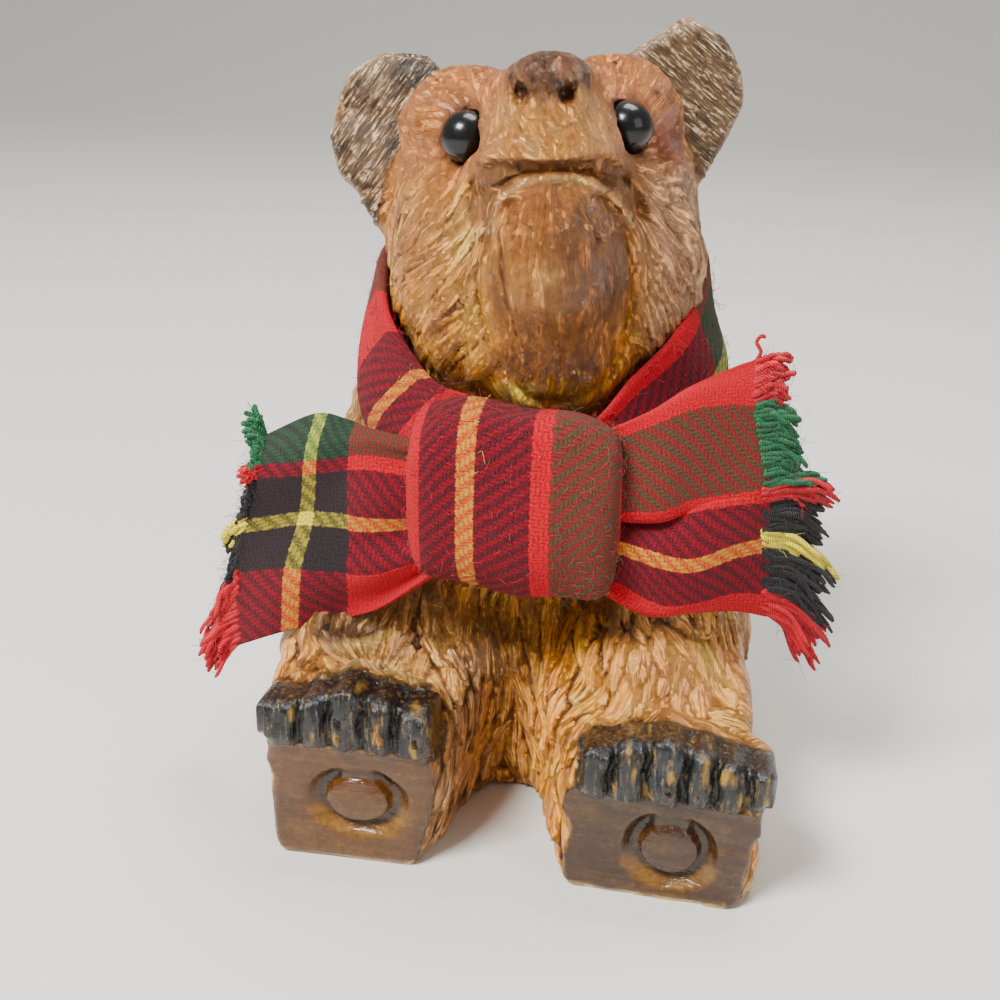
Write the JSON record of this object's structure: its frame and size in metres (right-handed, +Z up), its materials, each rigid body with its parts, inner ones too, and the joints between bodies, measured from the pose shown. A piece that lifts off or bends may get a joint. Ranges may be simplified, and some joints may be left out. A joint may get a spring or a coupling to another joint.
{
  "type": "seated bear figurine",
  "caption": "Resin bear carved in fur-like locks, seated with legs out and face up, with bead eyes and a tied tartan scarf. Stands on its flat underside.",
  "frame": {"origin": "on the ground under the middle of the trunk, on the flat underside", "axes": "+Z up through the head, -Y towards the soles and the face, +X to the bear's left side, which is at the right when it is seen from the front"},
  "size_m": [0.109, 0.0957, 0.1363],
  "materials": {
    "painted resin": "satin",
    "bead gloss": "gloss",
    "tartan cloth": "matte"
  },
  "bodies": {
    "root": {"bear": "painted resin", "eye_left": "bead gloss", "eye_right": "bead gloss", "tartan_scarf": "tartan cloth"}
  },
  "joints": []
}
